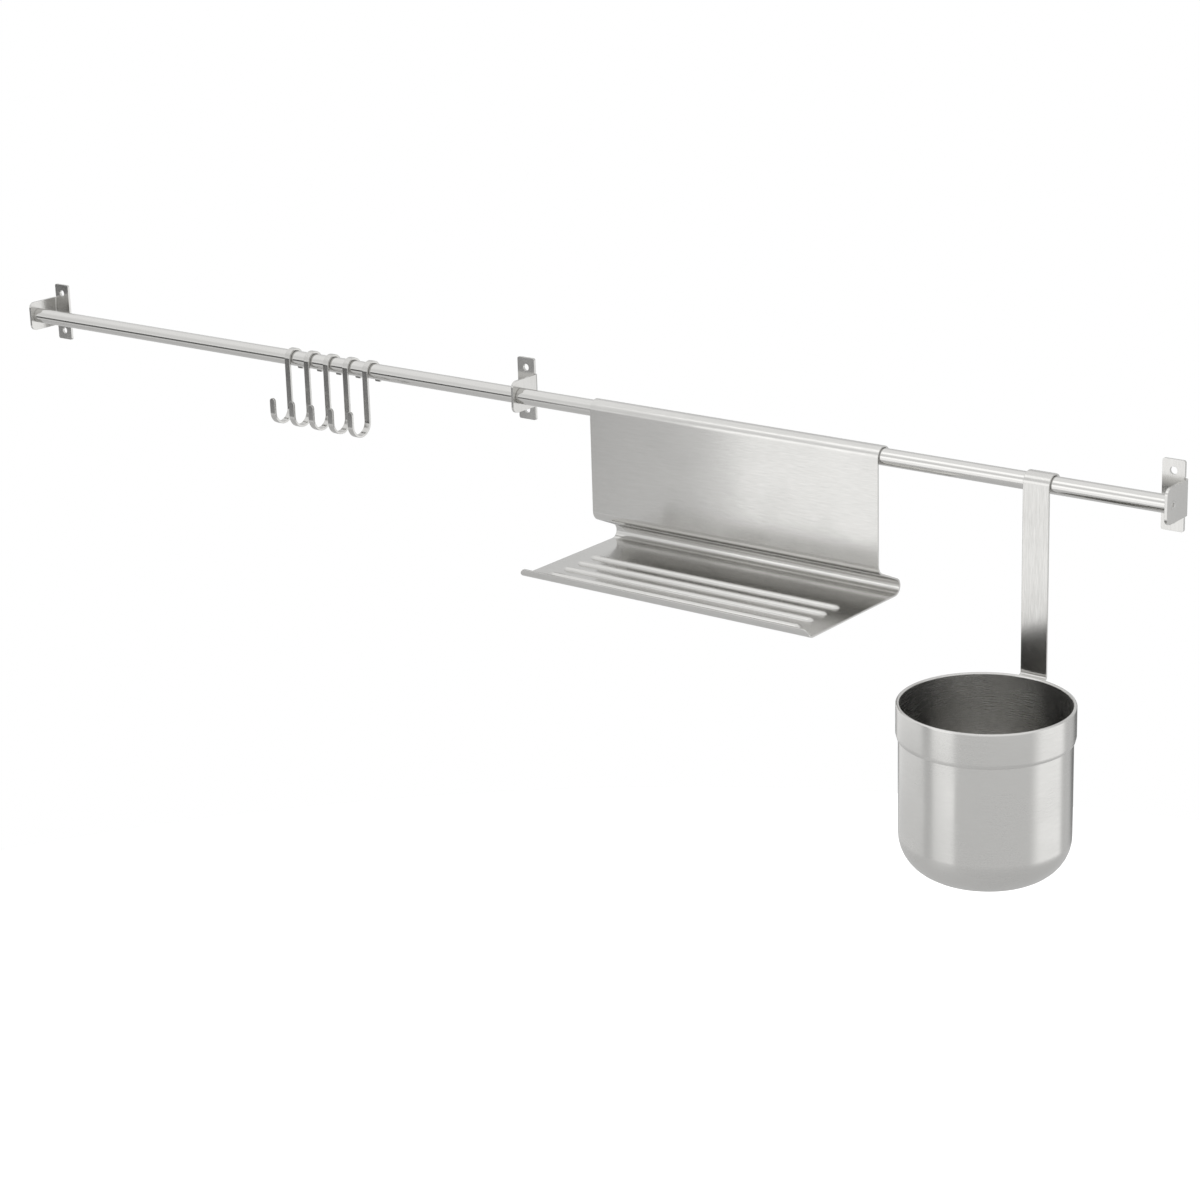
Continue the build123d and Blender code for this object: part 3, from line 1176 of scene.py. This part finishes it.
class RAIL_OT_studio(bpy.types.Operator):
    """Set up the floor, the backdrop, the lamps and the camera"""

    bl_idname = "rail.studio"
    bl_label = "Studio"

    def execute(self, context):
        studio = context.scene.rail_studio
        self.lay_floor(studio)
        self.light_world(context, studio)
        for name, lamp in LAMPS.items():
            self.hang_lamp(context, name, *lamp)
        self.stand_card(studio)
        self.place_camera(context, studio)
        context.scene.view_settings.view_transform = "Standard"
        return {"FINISHED"}

    def lay_floor(self, studio):
        """A round paper floor that glows to the camera alone, so that it turns white."""
        select_only()
        bpy.ops.mesh.primitive_circle_add(
            vertices=96,
            radius=studio.floor_radius,
            fill_type="NGON",
            location=(0, 0, -studio.floor_drop),
        )
        floor = bpy.context.object
        floor.name = floor.data.name = "studio_floor"
        material = bpy.data.materials.new("floor_paper")
        material.use_nodes = True
        nodes = Nodes(material.node_tree)
        paper = material.node_tree.nodes["Principled BSDF"]
        paper.inputs["Base Color"].default_value = PAPER
        paper.inputs["Roughness"].default_value = 0.9
        glow = {"Color": (*studio.backdrop, 1), "Strength": PAPER_GLOW}
        glow = nodes.add("ShaderNodeEmission", glow).outputs[0]
        both = nodes.add("ShaderNodeAddShader", {0: glow, 1: paper.outputs[0]}).outputs[0]
        seen = nodes.add("ShaderNodeLightPath").outputs["Is Camera Ray"]
        mixed = nodes.add("ShaderNodeMixShader", {0: seen, 1: paper.outputs[0], 2: both})
        output = material.node_tree.nodes["Material Output"]
        material.node_tree.links.new(mixed.outputs[0], output.inputs["Surface"])
        floor.data.materials.append(material)
        select_only()

    def stand_card(self, studio):
        """A dark card low on the left, which draws the dark line along the tube."""
        left, right, bottom, top = -3.8, -1.6, -0.75, -0.12
        distance = 2.1
        select_only()
        bpy.ops.mesh.primitive_plane_add(
            size=1,
            location=((left + right) / 2, -distance, (bottom + top) / 2),
            rotation=(math.pi / 2, 0, 0),
        )
        card = bpy.context.object
        card.name = card.data.name = "studio_card"
        card.scale = (right - left, top - bottom, 1)
        card.visible_camera = False
        card.visible_shadow = False
        card.visible_diffuse = False
        material = bpy.data.materials.new("card_grey")
        material.use_nodes = True
        nodes = Nodes(material.node_tree)
        grey = {"Color": (studio.card, studio.card, studio.card, 1), "Strength": 1}
        grey = nodes.add("ShaderNodeEmission", grey).outputs[0]
        output = material.node_tree.nodes["Material Output"]
        material.node_tree.links.new(grey, output.inputs["Surface"])
        card.data.materials.append(material)
        select_only()

    def light_world(self, context, studio):
        """White to the camera, even light on the object, and for the steel a studio in greys."""
        world = bpy.data.worlds.new("studio_world")
        world.use_nodes = True
        context.scene.world = world
        nodes = Nodes(world.node_tree)
        direction = nodes.add("ShaderNodeTexCoord").outputs["Generated"]
        split = nodes.add("ShaderNodeSeparateXYZ", {0: direction})
        x, y, z = split.outputs
        toward = {"x": x, "y": y, "z": z}

        def fade(axis, start, end, soft):
            return nodes.spread(toward[axis], start, end, 0, 1, soft)

        band = nodes.spread(z, *HORIZON_BAND, WHITE, BRIGHT, smooth=True)
        overhead = nodes.spread(z, *OVERHEAD, WHITE, BRIGHT, smooth=True)
        upper = nodes.math("MAXIMUM", band, overhead)
        upper = nodes.spread(fade(*WALL_SIDE), 0, 1, upper, WALL)
        lower = nodes.spread(x, *FRONT, FRONT_LEFT, studio.low_grey, smooth=True)
        for level, ranges in LOW_PATCHES.values():
            share = fade(*ranges[0])
            for limits in ranges[1:]:
                share = nodes.math("MULTIPLY", share, fade(*limits))
            lower = nodes.spread(share, 0, 1, lower, level)
        mirrored = nodes.spread(fade(*HORIZON), 0, 1, upper, lower)

        rays = nodes.add("ShaderNodeLightPath").outputs
        from_steel = nodes.math("MAXIMUM", rays["Is Glossy Ray"], rays["Is Transmission Ray"])
        colour = nodes.mix_colour(from_steel, PAPER, mirrored)
        colour = nodes.mix_colour(rays["Is Camera Ray"], colour, (*studio.backdrop, 1))
        background = world.node_tree.nodes["Background"]
        world.node_tree.links.new(colour, background.inputs["Color"])
        background.inputs["Strength"].default_value = 1

    def hang_lamp(self, context, name, place, target, width, height, brightness):
        """A rectangular lamp that the camera doesn't see, aimed at its target."""
        lamp = bpy.data.lights.new(name, "AREA")
        lamp.shape = "RECTANGLE"
        lamp.size = width
        lamp.size_y = height
        lamp.energy = brightness * math.pi * width * height
        holder = bpy.data.objects.new(name, lamp)
        holder.location = place
        holder.visible_camera = False
        aim = Vector(target) - Vector(place)
        holder.rotation_euler = aim.to_track_quat("-Z", "Y").to_euler()
        context.scene.collection.objects.link(holder)

    def place_camera(self, context, studio):
        """A camera at the photograph's viewing angle, looking at the wall from the right."""
        lens = bpy.data.cameras.new("camera")
        lens.sensor_width = 36
        lens.lens = studio.lens
        lens.shift_y = studio.shift
        lens.clip_start = 0.05
        lens.clip_end = 50
        camera = bpy.data.objects.new("camera", lens)
        turn = Matrix.Rotation(studio.yaw, 4, "Z") @ Matrix.Rotation(studio.pitch, 4, "X")
        turn = turn @ Matrix.Rotation(studio.roll, 4, "Y") @ Matrix.Rotation(math.pi / 2, 4, "X")
        camera.matrix_world = Matrix.Translation(studio.camera_place) @ turn
        context.scene.collection.objects.link(camera)
        context.scene.camera = camera


class RAIL_PT_panel(bpy.types.Panel):
    """Lists the rail's settings and the steps that make it"""

    bl_idname = "RAIL_PT_panel"
    bl_label = "Utensil Rail"
    bl_space_type = "VIEW_3D"
    bl_region_type = "UI"
    bl_category = "Utensil Rail"

    def draw(self, context):
        for step in STEPS:
            self.layout.operator(step.bl_idname)
        for group in SETTINGS:
            settings = getattr(context.scene, group)
            box = self.layout.box()
            for name in settings.bl_rna.properties.keys():
                if name not in ("rna_type", "name"):
                    box.prop(settings, name)


STEPS = (
    RAIL_OT_tubes,
    RAIL_OT_brackets,
    RAIL_OT_hooks,
    RAIL_OT_stand,
    RAIL_OT_cup,
    RAIL_OT_studio,
)


def register():
    for group in (*SETTINGS.values(), *STEPS, RAIL_PT_panel):
        bpy.utils.register_class(group)
    for name, group in SETTINGS.items():
        setattr(bpy.types.Scene, name, bpy.props.PointerProperty(type=group))


def unregister():
    for name in SETTINGS:
        delattr(bpy.types.Scene, name)
    for group in (RAIL_PT_panel, *reversed(STEPS), *SETTINGS.values()):
        bpy.utils.unregister_class(group)


def main():
    register()
    bpy.ops.rail.tubes()
    bpy.ops.rail.brackets()
    bpy.ops.rail.hooks()
    bpy.ops.rail.stand()
    bpy.ops.rail.cup()
    bpy.ops.rail.studio()


if __name__ == "__main__":
    main()
